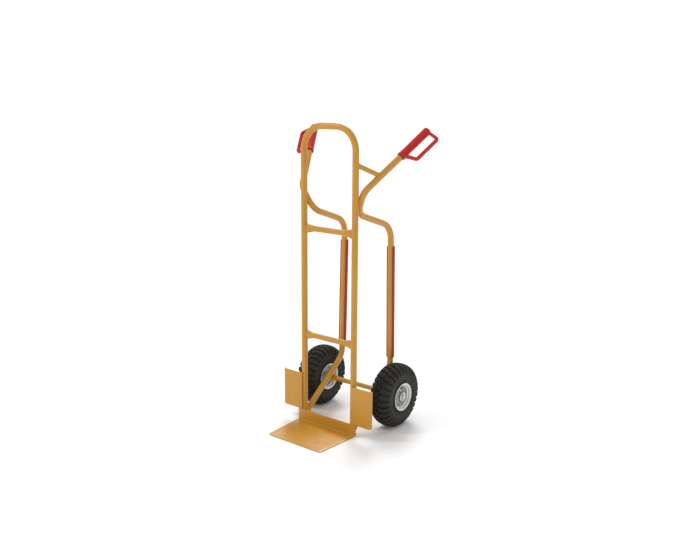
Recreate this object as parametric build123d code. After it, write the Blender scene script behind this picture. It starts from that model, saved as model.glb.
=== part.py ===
from build123d import *
import math
import os

# A two-wheeled steel hand truck: a hooped front frame, two bent side tubes that carry the
# hand grips, stair skids, an axle with pneumatic wheels, and a bent toe plate.
# Units are millimetres, +Z is up, +Y points to the rear and the toe plate points to -Y.
# Every piece is laid out from the mid plane of the hoop frame, then moved by frame_shift so
# that the origin is on the floor under the middle of the whole truck.

# ---- driving dimensions: wheels -------------------------------------------------------
wheel_radius = 130.0          # tyre 260 mm over the tread
tyre_half_width = 46.0
wheel_offset = 192.5          # wheel mid plane from the truck's mid plane
axle_behind_frame = 186.0
axle_radius = 10.0

# ---- driving dimensions: frame --------------------------------------------------------
tube_radius = 12.5
tube_wall = 2.0
frame_half_width = 126.0      # mid plane of the truck to the tubes' centre lines
frame_height = 1199.5         # centre line of the hoop's top
hoop_bend_radius = 90.0
foot_gap = 1.0                # hoop tube ends above the floor
weld_gap = 0.1                # between a coped side tube and its upright
upper_bar_height = 803.5
lower_bar_height = 369.0
toe_depth = 212.0             # hoop's mid plane to the toe plate's front edge

# ---- side tubes: corner points of the right tube's centre line ------------------------
foot_corner = (126.0, 0.0, 24.0)
heel_corner = (127.6, 246.0, 219.0)
shoulder_corner = (117.2, 246.0, 805.7)
neck_low_corner = (109.7, 34.1, 875.0)
neck_high_corner = (152.3, 16.5, 962.0)
heel_bend_radius = 70.0
shoulder_bend_radius = 74.0
neck_low_bend_radius = 72.0
neck_high_bend_radius = 55.0
handle_direction = Vector(371, 660, 653).normalized()
handle_length = 340.0         # upper neck corner to the tube's cut end

# ---- crossbars ------------------------------------------------------------------------
bar_radius = 11.0
bar_wall = 2.0
bar_set_back = 5.0            # the round middle sits this far behind the hoop's mid plane
bar_round_half = 78.0         # half length of the round middle
bar_end_height = 44.0         # the ends are pressed flat and tall
bar_end_thickness = 11.0

# ---- handle braces --------------------------------------------------------------------
brace_radius = 9.0
brace_wall = 1.8
brace_top_height = 1064.0     # brace centre line on the hoop upright
brace_reach = 89.5            # where it meets the handle, measured from the neck corner

# ---- hand grips -----------------------------------------------------------------------
grip_start = 196.5            # sleeve's lower end, measured from the neck corner
grip_length = 149.0
grip_radius = 16.0
grip_bore_gap = 0.1
grip_tip_fillet = 4.0
guard_direction = Vector(0.920, -0.164, -0.357)
guard_reach = 64.0            # sleeve's axis to the guard bar's axis
guard_near = 24.7             # guard bar's ends, measured along the sleeve
guard_far = 136.0
guard_width = 15.0
guard_depth = 12.5
guard_corner_radius = 9.0
collar_length = 3.0
collar_radius = 15.0

# ---- toe plate and wheel guards -------------------------------------------------------
toe_thickness = 4.0
toe_flange_height = 49.0
toe_rear_half = 146.0
toe_front_half = 132.5
toe_corner_radius = 9.0
toe_bend_radius = 3.0
guard_sheet = 3.0
guard_sheet_bottom = 51.0
guard_sheet_top = 206.0
guard_sheet_edge = 222.0      # outer face of the folded edge
guard_fold_depth = 5.0
guard_sheet_corner = 9.0
foot_plug_depth = 18.0

# ---- axle brackets, collars, washers and pins -----------------------------------------
bracket_thickness = 6.0
bracket_rim = 7.0             # metal left around the axle
bracket_width = 30.0
collar_ring_radius = 15.0
collar_ring_length = 8.0
washer_radius = 18.0
washer_thickness = 2.5
washer_clearance = 0.4
pin_radius = 1.8
pin_inset = 5.0               # split pin's hole from the axle's end
pin_past_axle = 4.0
pin_eye_radius = 3.2
pin_eye_wire = 1.2
pin_leg_radius = 1.2
pin_leg_spread = 6.0
pin_leg_drop = 3.0
axle_end_past_hub = 12.5
axle_chamfer = 1.5

# ---- stair skids ----------------------------------------------------------------------
skid_bottom = 262.0
skid_top = 724.0
saddle_wall = 1.5
saddle_half_angle = 137.0     # measured from straight back
strip_wall = 2.5
strip_half_angle = 120.0
strip_pad_half_width = 7.5
strip_pad_back = 19.0         # rubbing face behind the tube's centre line
rivet_shank_radius = 2.0
rivet_head_radius = 4.5
rivet_head_height = 2.0
rivet_recess_depth = 3.0
rivets_per_skid = 4
rivet_end_margin = 30.0
strip_pad_corner = 1.5

# ---- tyre section: points as (from the wheel's mid plane, distance from the axle) ------
tyre_crown_edge = (29.0, 124.0)
tyre_shoulder = (38.0, 116.5)
tyre_shoulder_foot = (43.5, 107.0)
tyre_wall_middle = (tyre_half_width, 92.0)
tyre_wall_foot = (40.5, 60.5)
tyre_bead_outer = (40.5, 51.0)
tyre_bead_inner = (32.5, 51.0)
tyre_liner_foot = (34.5, 63.0)
tyre_liner_middle = (41.0, 90.0)
tyre_liner_edge = (33.0, 110.0)
tyre_liner_crown = 119.0

# ---- wheel internals ------------------------------------------------------------------
hub_bore_radius = 16.0
hub_outer_radius = 19.2
hub_half_length = 37.0
rim_sheet = 2.0
rim_well_radius = 46.0
rim_seat_radius = 50.8
rim_flange_radius = 57.0
rim_half_width = 46.0
rim_well_end = 32.0
rim_seat_start = 35.0
rim_flange_plane = 41.0
rim_lip_rise = 1.5
rim_bolt_circle = 33.0
rim_bolt_count = 4
rim_bolt_radius = 4.0
rim_bolt_head_radius = 7.0
rim_bolt_head_height = 5.5
rim_nut_height = 6.5
rim_bolt_tail = 3.0
roller_count = 8
roller_radius = 2.7
roller_length = 18.0
bearing_centre = 22.0         # bearing's middle from the wheel's mid plane
cage_length = 22.0
cage_inner_radius = 11.4
cage_outer_radius = 14.6
cage_gap = 0.3
seal_flange_radius = 20.0
seal_flange_thickness = 2.0
seal_bore_gap = 0.4
seal_spigot_length = 3.0
inner_tube_radius = 84.5
inner_tube_half_width = 34.0
inner_tube_half_height = 32.0
inner_tube_wall = 2.0
inner_tube_corner = 24.0
valve_radius = 4.0
valve_cap_radius = 5.0
valve_cap_length = 9.0
valve_cap_corner = 1.5
valve_plane = 14.0            # valve hole from the wheel's mid plane
valve_reach = 30.0            # valve's open end from the wheel's mid plane
valve_inner_radius = 37.0     # distance of the valve's outer leg from the axle

# ---- derived values -------------------------------------------------------------------
total_rear = axle_behind_frame + wheel_radius
frame_shift = (toe_depth - total_rear) / 2
neck_corner = Vector(*neck_high_corner)
grip_base = neck_corner + handle_direction * grip_start
handle_tip = neck_corner + handle_direction * handle_length
axle_half_length = wheel_offset + hub_half_length + axle_end_past_hub
washer_inner_face = hub_half_length + seal_flange_thickness + washer_clearance
race_middle_radius = (axle_radius + hub_bore_radius) / 2
skid_direction = (Vector(*shoulder_corner) - Vector(*heel_corner)).normalized()

parts_folder = "parts"
os.makedirs(parts_folder, exist_ok=True)


def save(name, shape):
    """Move a piece, or a group of pieces, into the truck's frame and write its file."""
    placed = Pos(0, frame_shift, 0) * shape
    placed.label = name
    export_step(placed, f"{parts_folder}/{name}.step")


def save_pair(name, right_shape):
    """Write a right-hand piece and its mirror image on the left."""
    save(f"right_{name}", right_shape)
    save(f"left_{name}", mirror(right_shape, about=Plane.YZ))


def both_sides(right_shapes):
    """One group made of right-hand solids and their mirror images."""
    mirrored = [mirror(shape, about=Plane.YZ) for shape in right_shapes]
    return Compound([*right_shapes, *mirrored])


def rod(start, end, radius):
    """A solid round bar between two points."""
    along = Vector(end) - Vector(start)
    plane = Plane(origin=start, z_dir=along)
    return extrude(plane * Circle(radius), amount=along.length)


def pipe(start, end, radius, wall):
    """A straight tube between two points."""
    return rod(start, end, radius) - rod(start, end, radius - wall)


def bent_pipe(corners, bend_radii, radius, wall):
    """A tube whose centre line runs through corner points with round bends."""
    path = FilletPolyline(*corners, radius=bend_radii)
    plane = Plane(origin=path @ 0, z_dir=path % 0)
    return sweep(plane * (Circle(radius) - Circle(radius - wall)), path=path)


def turned(outline):
    """A closed outline of (along the axle, distance from the axle) turned about X."""
    face = make_face(Polyline(*outline, close=True))
    return revolve(face, axis=Axis.X)


def ring(start, end, inner_radius, outer_radius):
    """A plain ring on the X axis."""
    outline = [(start, inner_radius), (end, inner_radius), (end, outer_radius)]
    return turned([*outline, (start, outer_radius)])


# ---- frame ----------------------------------------------------------------------------
def make_loop_frame():
    """The hoop: two uprights joined by a bent top."""
    corners = [
        (-frame_half_width, 0, foot_gap),
        (-frame_half_width, 0, frame_height),
        (frame_half_width, 0, frame_height),
        (frame_half_width, 0, foot_gap),
    ]
    return bent_pipe(corners, hoop_bend_radius, tube_radius, tube_wall)


def upright_core(gap=0.0):
    """The space that the two uprights fill, and a gap around it, to cope other tubes against."""
    cores = Part()
    for across in (-frame_half_width, frame_half_width):
        cores += rod((across, 0, 0), (across, 0, frame_height), tube_radius + gap)
    return cores


def bar_end(radius_cut):
    """Half of a crossbar's flared end, as a solid; radius_cut shrinks every section."""
    round_section = Plane.YZ.offset(bar_round_half) * Pos(bar_set_back, 0) * Circle(bar_radius - radius_cut)
    flat_section = Plane.YZ.offset(frame_half_width) * RectangleRounded(
        bar_end_thickness - 2 * radius_cut,
        bar_end_height - 2 * radius_cut,
        bar_end_thickness / 2 - radius_cut - 0.05,
    )
    return loft([round_section, flat_section])


def make_crossbar(height):
    """A round bar with pressed, flared ends that hug the uprights."""
    start = (-bar_round_half, bar_set_back, 0)
    end = (bar_round_half, bar_set_back, 0)
    flare = bar_end(0) - bar_end(bar_wall)
    bar = pipe(start, end, bar_radius, bar_wall) + flare + mirror(flare, about=Plane.YZ)
    return Pos(0, 0, height) * bar - upright_core()


def make_side_tube():
    """Right side tube: foot, heel bend, skid stretch, shoulder, neck and handle."""
    corners = [foot_corner, heel_corner, shoulder_corner, neck_low_corner, neck_high_corner]
    corners.append(tuple(handle_tip))
    radii = [heel_bend_radius, shoulder_bend_radius, neck_low_bend_radius, neck_high_bend_radius]
    tube = bent_pipe(corners, radii, tube_radius, tube_wall) - upright_core(weld_gap)
    return tube - rivet_holes()


def make_handle_brace():
    """Short strut from the upright's rear to the handle, coped at both ends."""
    start = Vector(frame_half_width, 0, brace_top_height)
    end = neck_corner + handle_direction * brace_reach
    handle_core = rod(neck_corner, handle_tip, tube_radius)
    return pipe(start, end, brace_radius, brace_wall) - upright_core() - handle_core


# ---- sheet metal ----------------------------------------------------------------------
def make_toe_plate():
    """Bent plate: a tapered blade on the floor and a low flange against the uprights."""
    rear = -tube_radius
    section = Polyline(
        (-toe_depth, 0),
        (rear, 0),
        (rear, toe_flange_height),
        (rear - toe_thickness, toe_flange_height),
        (rear - toe_thickness, toe_thickness),
        (-toe_depth, toe_thickness),
        close=True,
    )
    profile = make_face(section)
    inner = profile.vertices().sort_by_distance((rear - toe_thickness, toe_thickness))[0]
    profile = fillet(inner, toe_bend_radius)
    outer = profile.vertices().sort_by_distance((rear, 0))[0]
    profile = fillet(outer, toe_bend_radius + toe_thickness)
    blank = extrude(Plane.YZ * profile, amount=toe_rear_half, both=True)
    outline = Polyline(
        (-toe_rear_half, rear),
        (-toe_rear_half, rear - toe_thickness),
        (-toe_front_half, -toe_depth),
        (toe_front_half, -toe_depth),
        (toe_rear_half, rear - toe_thickness),
        (toe_rear_half, rear),
        close=True,
    )
    plan = make_face(outline)
    front = plan.vertices().sort_by(Axis.Y)[:2]
    plan = fillet(front, toe_corner_radius)
    return blank & extrude(plan, amount=toe_flange_height)


def make_wheel_guard():
    """Right wheel guard: a flat sheet with its outer edge folded back."""
    back = -tube_radius
    front = back - guard_sheet
    height = guard_sheet_top - guard_sheet_bottom
    middle = (guard_sheet_bottom + guard_sheet_top) / 2
    width = guard_sheet_edge - frame_half_width
    sheet = Pos(frame_half_width + width / 2, (front + back) / 2, middle) * Box(width, guard_sheet, height)
    fold_depth = guard_sheet + guard_fold_depth
    fold = Pos(guard_sheet_edge - guard_sheet / 2, front + fold_depth / 2, middle)
    guard = sheet + fold * Box(guard_sheet, fold_depth, height)
    outer_edge = guard.edges().filter_by(Axis.Z).sort_by_distance((guard_sheet_edge, front, middle))[0]
    guard = fillet(outer_edge, guard_sheet / 2)
    corner_cut = Pos(guard_sheet_edge - guard_sheet_corner, 0, guard_sheet_bottom + guard_sheet_corner)
    depth = 4 * tube_radius
    block = Box(guard_sheet_corner, depth, guard_sheet_corner, align=(Align.MIN, Align.CENTER, Align.MAX))
    round_edge = Rot(90, 0, 0) * Cylinder(guard_sheet_corner, depth)
    return guard - corner_cut * (block - round_edge)


# ---- axle -----------------------------------------------------------------------------
def on_axle(shape):
    """Move something built on the X axis to the axle line."""
    return Pos(0, axle_behind_frame, wheel_radius) * shape


def pin_position():
    """Distance of the split pin's hole from the truck's mid plane."""
    return axle_half_length - pin_inset


def make_axle():
    """Solid axle with chamfered ends and a cross hole for each split pin."""
    chamfered = axle_radius - axle_chamfer
    outline = [
        (-axle_half_length, 0),
        (-axle_half_length, chamfered),
        (axle_chamfer - axle_half_length, axle_radius),
        (axle_half_length - axle_chamfer, axle_radius),
        (axle_half_length, chamfered),
        (axle_half_length, 0),
    ]
    axle = turned(outline)
    for side in (-1, 1):
        axle -= Pos(side * pin_position(), 0, 0) * Cylinder(pin_radius + 0.1, 3 * axle_radius)
    return on_axle(axle)


def make_axle_bracket():
    """Plate between the right side tube's sloping leg and the axle."""
    slope = math.atan2(heel_corner[2] - foot_corner[2], heel_corner[1] - foot_corner[1])
    lean = Vector(-math.sin(slope), math.cos(slope))
    eye = Vector(axle_behind_frame, wheel_radius)
    to_tube = (Vector(*foot_corner[1:]) - eye).dot(lean)
    along = Vector(math.cos(slope), math.sin(slope))
    web_plane = Plane.YZ.offset(frame_half_width - bracket_thickness / 2)
    half = bracket_width / 2
    top = eye + lean * to_tube
    web = Polyline(eye - along * half, eye + along * half, top + along * half, top - along * half, close=True)
    outline = make_face(web) + Pos(eye.X, eye.Y) * Circle(axle_radius + bracket_rim)
    plate = extrude(web_plane * outline, amount=bracket_thickness)
    return plate - rod(foot_corner, heel_corner, tube_radius) - on_axle(axle_core())


def axle_core():
    """The axle's space without its end details."""
    return rod((-axle_half_length, 0, 0), (axle_half_length, 0, 0), axle_radius)


def make_axle_collars():
    """Stop rings on the axle, inside each wheel."""
    end = wheel_offset - washer_inner_face - washer_thickness
    stop = ring(end - collar_ring_length, end, axle_radius, collar_ring_radius)
    return both_sides([on_axle(stop)])


def make_axle_washers():
    """A washer on each side of each wheel."""
    washers = []
    for side in (-1, 1):
        inner = wheel_offset + side * washer_inner_face
        outer = inner + side * washer_thickness
        washers.append(on_axle(ring(inner, outer, axle_radius + 0.1, washer_radius)))
    return both_sides(washers)


def make_split_pins():
    """One split pin through each end of the axle, with an eye and two bent legs."""
    reach = axle_radius + pin_past_axle
    end = (pin_position(), 0, -reach)
    pin = Pos(pin_position(), 0, 0) * Cylinder(pin_radius, 2 * reach)
    eye_height = reach + pin_eye_radius - pin_eye_wire
    pin += Pos(pin_position(), 0, eye_height) * Rot(0, 90, 0) * Torus(pin_eye_radius, pin_eye_wire)
    for spread in (-pin_leg_spread, pin_leg_spread):
        pin += rod(end, (pin_position(), spread, -reach - pin_leg_drop), pin_leg_radius)
    return both_sides([on_axle(pin)])


# ---- stair skids ----------------------------------------------------------------------
def rivet_heights():
    """Heights of the rivets of one skid."""
    first = skid_bottom + rivet_end_margin
    last = skid_top - rivet_end_margin
    step = (last - first) / (rivets_per_skid - 1)
    return [first + step * count for count in range(rivets_per_skid)]


def on_skid(height):
    """A plane across the right side tube's skid stretch; its Y axis points to the rear."""
    start = Vector(*heel_corner)
    origin = start + skid_direction * ((height - start.Z) / skid_direction.Z)
    return Plane(origin=origin, x_dir=Vector(0, 1, 0).cross(skid_direction), z_dir=skid_direction)


def rivet_holes():
    """Holes through the rear of the right side tube, its saddle and its strip."""
    holes = Part()
    for height in rivet_heights():
        holes += on_skid(height) * rod((0, 0, 0), (0, strip_pad_back, 0), rivet_shank_radius + 0.05)
    return holes


def back_sector(inner, outer, half_angle):
    """Part of a ring that faces straight back, as an upright extrusion of a skid's length."""
    sector = CenterArc((0, 0), outer, 90 - half_angle, 2 * half_angle)
    inside = CenterArc((0, 0), inner, 90 - half_angle, 2 * half_angle)
    sides = [Line(sector @ 0, inside @ 0), Line(sector @ 1, inside @ 1)]
    return make_face([sector, inside, *sides])


def skid_length_of(face):
    """Extrude a section, drawn about the tube's centre line, over the skid's length."""
    return on_skid(skid_bottom) * extrude(face, amount=(skid_top - skid_bottom) / skid_direction.Z)


def make_skid_saddle():
    """Thin steel saddle around the rear of the right side tube."""
    saddle = skid_length_of(back_sector(tube_radius, tube_radius + saddle_wall, saddle_half_angle))
    return saddle - rivet_holes()


def make_skid_strip():
    """Plastic strip over the saddle, with a thick rubbing pad at the back."""
    inner = tube_radius + saddle_wall
    shell = back_sector(inner, inner + strip_wall, strip_half_angle)
    pad_height = strip_pad_back - inner
    pad = RectangleRounded(2 * strip_pad_half_width, pad_height, strip_pad_corner)
    face = shell + (Pos(0, inner + pad_height / 2) * pad - Circle(inner))
    strip = skid_length_of(face) - rivet_holes()
    seat = (0, strip_pad_back - rivet_recess_depth, 0)
    for height in rivet_heights():
        strip -= on_skid(height) * rod(seat, (0, strip_pad_back, 0), rivet_head_radius + 0.5)
    return strip


def make_skid_rivets():
    """Rivets that hold the strips and saddles to both side tubes."""
    seat = strip_pad_back - rivet_recess_depth
    shank = rod((0, tube_radius - tube_wall, 0), (0, seat, 0), rivet_shank_radius)
    head = rod((0, seat, 0), (0, seat + rivet_head_height, 0), rivet_head_radius)
    rim = head.edges().filter_by(GeomType.CIRCLE).sort_by(Axis.Y)[-1]
    rivet = shank + fillet(rim, rivet_head_height / 2)
    return both_sides([on_skid(height) * rivet for height in rivet_heights()])


# ---- hand grips -----------------------------------------------------------------------
def make_handgrip():
    """Right grip: a closed sleeve with a knuckle guard moulded on."""
    tip = grip_base + handle_direction * grip_length
    sleeve = rod(grip_base, tip, grip_radius)
    rim = sleeve.edges().filter_by(GeomType.CIRCLE).sort_by_distance(tip)[0]
    sleeve = fillet(rim, grip_tip_fillet)
    reach = guard_direction * guard_reach
    corners = [
        grip_base + handle_direction * (guard_width / 2),
        grip_base + handle_direction * guard_near + reach,
        grip_base + handle_direction * guard_far + reach,
        tip - handle_direction * (guard_width / 2),
    ]
    path = FilletPolyline(*[tuple(corner) for corner in corners], radius=guard_corner_radius)
    side = handle_direction.cross(guard_direction)
    plane = Plane(origin=path @ 0, x_dir=side, z_dir=path % 0)
    section = plane * RectangleRounded(guard_width, guard_depth, guard_depth / 3)
    guard = sweep(section, path=path)
    grip = sleeve + guard
    return grip - rod(grip_base, handle_tip, tube_radius + grip_bore_gap)


def make_grip_collars():
    """Dark rings on the handles, just below the sleeves."""
    start = grip_base - handle_direction * collar_length
    band = rod(start, grip_base, collar_radius) - rod(start, grip_base, tube_radius)
    return both_sides([band])


def make_foot_plugs():
    """Plastic plugs in the uprights' open lower ends."""
    middle = foot_gap + foot_plug_depth / 2
    body = Pos(frame_half_width, 0, middle) * Cylinder(tube_radius - tube_wall, foot_plug_depth)
    flange = Pos(frame_half_width, 0, foot_gap / 2) * Cylinder(tube_radius - 0.5, foot_gap)
    return both_sides([body + flange])


# ---- wheels ---------------------------------------------------------------------------
def on_wheel(shape):
    """Move something built about the X axis to the right wheel."""
    return Pos(wheel_offset, 0, 0) * on_axle(shape)


def make_tyre():
    """Hollow tyre casing with beads, turned about the axle."""

    def left(point):
        return (-point[0], point[1])

    bead = [tyre_wall_foot, tyre_bead_outer, tyre_bead_inner, tyre_liner_foot]
    lines = [
        ThreePointArc(left(tyre_crown_edge), (0, wheel_radius), tyre_crown_edge),
        ThreePointArc(tyre_crown_edge, tyre_shoulder, tyre_shoulder_foot),
        ThreePointArc(tyre_shoulder_foot, tyre_wall_middle, tyre_wall_foot),
        Polyline(*bead),
        ThreePointArc(tyre_liner_foot, tyre_liner_middle, tyre_liner_edge),
        ThreePointArc(tyre_liner_edge, (0, tyre_liner_crown), left(tyre_liner_edge)),
        ThreePointArc(left(tyre_liner_edge), left(tyre_liner_middle), left(tyre_liner_foot)),
        Polyline(*[left(point) for point in reversed(bead)]),
        ThreePointArc(left(tyre_wall_foot), left(tyre_wall_middle), left(tyre_shoulder_foot)),
        ThreePointArc(left(tyre_shoulder_foot), left(tyre_shoulder), left(tyre_crown_edge)),
    ]
    return on_wheel(revolve(make_face(lines), axis=Axis.X))


def make_inner_tube():
    """Thin inflated tube inside the tyre."""
    width = 2 * inner_tube_half_width
    height = 2 * inner_tube_half_height
    wall = inner_tube_wall
    outer = RectangleRounded(width, height, inner_tube_corner)
    inner = RectangleRounded(width - 2 * wall, height - 2 * wall, inner_tube_corner - wall)
    return on_wheel(revolve(Pos(0, inner_tube_radius) * (outer - inner), axis=Axis.X))


def bolt_angles():
    """Angles of the rim bolts about the axle, in degrees."""
    return [360 / rim_bolt_count * (count + 0.5) for count in range(rim_bolt_count)]


def rim_half(side):
    """One pressed half of the split rim; side is +1 outside and -1 inside."""
    inside_well = rim_well_radius - rim_sheet
    inside_seat = rim_seat_radius - rim_sheet
    inside_lip = rim_flange_radius - rim_sheet
    lip_start = rim_flange_plane + rim_sheet
    outline = [
        (0, hub_outer_radius),
        (rim_sheet, hub_outer_radius),
        (rim_sheet, inside_well),
        (rim_well_end + rim_sheet / 2, inside_well),
        (rim_seat_start + rim_sheet / 2, inside_seat),
        (lip_start, inside_seat),
        (lip_start, inside_lip - rim_lip_rise),
        (lip_start + rim_lip_rise, inside_lip),
        (rim_half_width, inside_lip),
        (rim_half_width, rim_flange_radius),
        (lip_start, rim_flange_radius),
        (rim_flange_plane, rim_flange_radius - rim_sheet),
        (rim_flange_plane, rim_seat_radius),
        (rim_seat_start, rim_seat_radius),
        (rim_well_end, rim_well_radius),
        (0, rim_well_radius),
    ]
    half = turned([(side * along, distance) for along, distance in outline])
    for angle in bolt_angles():
        hole = Rot(angle, 0, 0) * Pos(0, rim_bolt_circle, 0) * Rot(0, 90, 0)
        half -= hole * Cylinder(rim_bolt_radius + 0.1, 4 * rim_sheet)
    return half


def make_outer_rim():
    """Outer rim half, with the valve's hole in its well."""
    hole = Pos(valve_plane, 0, rim_well_radius) * Cylinder(valve_radius + 0.3, 4 * rim_sheet)
    return on_wheel(rim_half(1) - hole)


def make_rim_bolts():
    """Bolts through both rim halves, heads outside."""
    bolts = []
    for angle in bolt_angles():
        head_face = Plane.YZ.offset(rim_sheet) * RegularPolygon(rim_bolt_head_radius, 6)
        head = extrude(head_face, amount=rim_bolt_head_height)
        tail = -rim_sheet - rim_nut_height - rim_bolt_tail
        bolt = head + rod((tail, 0, 0), (rim_sheet, 0, 0), rim_bolt_radius)
        bolts.append(on_wheel(Rot(angle, 0, 0) * Pos(0, rim_bolt_circle, 0) * bolt))
    return Compound(bolts)


def make_rim_nuts():
    """Nuts on the inner side of the rim."""
    nuts = []
    for angle in bolt_angles():
        face = RegularPolygon(rim_bolt_head_radius, 6) - Circle(rim_bolt_radius)
        nut = extrude(Plane.YZ.offset(-rim_sheet - rim_nut_height) * face, amount=rim_nut_height)
        nuts.append(on_wheel(Rot(angle, 0, 0) * Pos(0, rim_bolt_circle, 0) * nut))
    return Compound(nuts)


def make_hub_tube():
    """Hub tube that carries the roller bearings."""
    return on_wheel(ring(-hub_half_length, hub_half_length, hub_bore_radius, hub_outer_radius))


def make_hub_seals():
    """Dust seals pressed into both ends of the hub tube."""
    seals = []
    bore = axle_radius + seal_bore_gap
    for side in (-1, 1):
        outline = [
            (hub_half_length - seal_spigot_length, bore),
            (hub_half_length + seal_flange_thickness, bore),
            (hub_half_length + seal_flange_thickness, seal_flange_radius),
            (hub_half_length, seal_flange_radius),
            (hub_half_length, hub_bore_radius),
            (hub_half_length - seal_spigot_length, hub_bore_radius),
        ]
        seals.append(on_wheel(turned([(side * along, distance) for along, distance in outline])))
    return Compound(seals)


def roller_places(radius, length):
    """Cylinders at every roller's place in the wheel's two bearings."""
    places = []
    for side in (-1, 1):
        for count in range(roller_count):
            turn = Rot(360 / roller_count * count, 0, 0)
            place = turn * Pos(side * bearing_centre, race_middle_radius, 0) * Rot(0, 90, 0)
            places.append(place * Cylinder(radius, length))
    return places


def make_bearing_rollers():
    """Rollers between the axle and the hub tube."""
    return Compound([on_wheel(roller) for roller in roller_places(roller_radius, roller_length)])


def make_bearing_cages():
    """Cages that space the rollers, one in each end of the hub."""
    pockets = roller_places(roller_radius + cage_gap, roller_length + 2 * cage_gap)
    cages = []
    for side in (-1, 1):
        start = side * bearing_centre - cage_length / 2
        cage = ring(start, start + cage_length, cage_inner_radius, cage_outer_radius)
        for pocket in pockets:
            cage -= pocket
        cages.append(on_wheel(cage))
    return Compound(cages)


def make_valve():
    """Bent valve stem from the inner tube, through the outer rim half, into the dish."""
    stem_top = inner_tube_radius - inner_tube_half_height
    corners = [
        (valve_plane, 0, stem_top),
        (valve_plane, 0, valve_inner_radius),
        (valve_reach, 0, valve_inner_radius),
    ]
    path = FilletPolyline(*corners, radius=valve_radius + 2)
    plane = Plane(origin=path @ 0, z_dir=path % 0)
    return on_wheel(sweep(plane * Circle(valve_radius), path=path))


def make_valve_cap():
    """Screw cap on the valve's end."""
    start = (valve_reach, 0, valve_inner_radius)
    end = (valve_reach + valve_cap_length - 2, 0, valve_inner_radius)
    cap = rod(start, end, valve_cap_radius)
    rim = cap.edges().filter_by(GeomType.CIRCLE).sort_by(Axis.X)[-1]
    return on_wheel(fillet(rim, valve_cap_corner))


def main():
    save("loop_frame", make_loop_frame())
    save("upper_crossbar", make_crossbar(upper_bar_height))
    save("lower_crossbar", make_crossbar(lower_bar_height))
    save_pair("side_tube", make_side_tube())
    save_pair("handle_brace", make_handle_brace())
    save("toe_plate", make_toe_plate())
    save_pair("wheel_guard", make_wheel_guard())
    save("axle", make_axle())
    save_pair("axle_bracket", make_axle_bracket())
    save("axle_collars", make_axle_collars())
    save("axle_washers", make_axle_washers())
    save("split_pins", make_split_pins())
    save_pair("skid_saddle", make_skid_saddle())
    save_pair("skid_strip", make_skid_strip())
    save("skid_rivets", make_skid_rivets())
    save_pair("handgrip", make_handgrip())
    save("grip_collars", make_grip_collars())
    save("foot_plugs", make_foot_plugs())
    save_pair("tyre", make_tyre())
    save_pair("inner_tube", make_inner_tube())
    save_pair("outer_rim", make_outer_rim())
    save_pair("inner_rim", on_wheel(rim_half(-1)))
    save_pair("rim_bolts", make_rim_bolts())
    save_pair("rim_nuts", make_rim_nuts())
    save_pair("hub_tube", make_hub_tube())
    save_pair("hub_seals", make_hub_seals())
    save_pair("bearing_rollers", make_bearing_rollers())
    save_pair("bearing_cages", make_bearing_cages())
    save_pair("valve", make_valve())
    save_pair("valve_cap", make_valve_cap())


main()
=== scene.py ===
import math

import bmesh
import bpy
from mathutils import Matrix, Vector


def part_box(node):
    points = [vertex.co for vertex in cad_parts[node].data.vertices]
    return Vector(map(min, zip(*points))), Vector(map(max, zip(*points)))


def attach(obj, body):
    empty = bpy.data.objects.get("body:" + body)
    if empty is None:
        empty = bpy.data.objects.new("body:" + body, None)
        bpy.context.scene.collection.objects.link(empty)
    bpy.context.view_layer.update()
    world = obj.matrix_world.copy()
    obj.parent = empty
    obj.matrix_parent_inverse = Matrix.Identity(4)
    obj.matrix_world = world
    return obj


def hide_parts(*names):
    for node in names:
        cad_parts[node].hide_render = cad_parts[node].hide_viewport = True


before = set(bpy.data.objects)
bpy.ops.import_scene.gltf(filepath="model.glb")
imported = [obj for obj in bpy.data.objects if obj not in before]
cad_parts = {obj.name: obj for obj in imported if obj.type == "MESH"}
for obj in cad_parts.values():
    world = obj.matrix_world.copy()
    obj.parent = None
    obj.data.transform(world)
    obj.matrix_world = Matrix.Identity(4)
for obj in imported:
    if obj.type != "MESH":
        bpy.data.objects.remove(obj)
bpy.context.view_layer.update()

# The looks of a two-wheeled steel hand truck. Units are metres; mm is one millimetre.
mm = 0.001
SIDES = {"right": 1, "left": -1}

# ---- places read from the frame -------------------------------------------------------
hoop_low, hoop_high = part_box("loop_frame")
hoop_plane = (hoop_low.y + hoop_high.y) / 2
tube_radius = (hoop_high.y - hoop_low.y) / 2
frame_half_width = hoop_high.x - tube_radius


def place(x, behind, height):
    """A point from millimetres: across, behind the hoop's mid plane, above the floor."""
    return Vector((x * mm, hoop_plane + behind * mm, height * mm))


def wheel_centre(side_name):
    """Middle of a wheel, from its hub tube's box."""
    low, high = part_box(side_name + "_hub_tube")
    return (low + high) / 2


# ---- small mesh tools -----------------------------------------------------------------
def sharpen(mesh, degrees):
    """Smooth shading with hard edges where faces meet at more than this angle."""
    work = bmesh.new()
    work.from_mesh(mesh)
    bmesh.ops.recalc_face_normals(work, faces=work.faces)
    limit = math.radians(degrees)
    for face in work.faces:
        face.smooth = True
    for edge in work.edges:
        edge.smooth = len(edge.link_faces) == 2 and edge.calc_face_angle(0.0) < limit
    work.to_mesh(mesh)
    work.free()


def grid_mesh(name, grid, wrap_rows=False, wrap_columns=False, cap_ends=False):
    """A mesh from rows of points, joined into quads."""
    rows, columns = len(grid), len(grid[0])
    points = [point for row in grid for point in row]
    faces = []
    for row in range(rows if wrap_rows else rows - 1):
        below = row * columns
        above = (row + 1) % rows * columns
        for column in range(columns if wrap_columns else columns - 1):
            after = (column + 1) % columns
            faces.append((below + column, below + after, above + after, above + column))
    if cap_ends:
        faces.append(tuple(range(columns)))
        faces.append(tuple(range((rows - 1) * columns, rows * columns)))
    mesh = bpy.data.meshes.new(name)
    mesh.from_pydata(points, [], faces)
    return mesh


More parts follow.
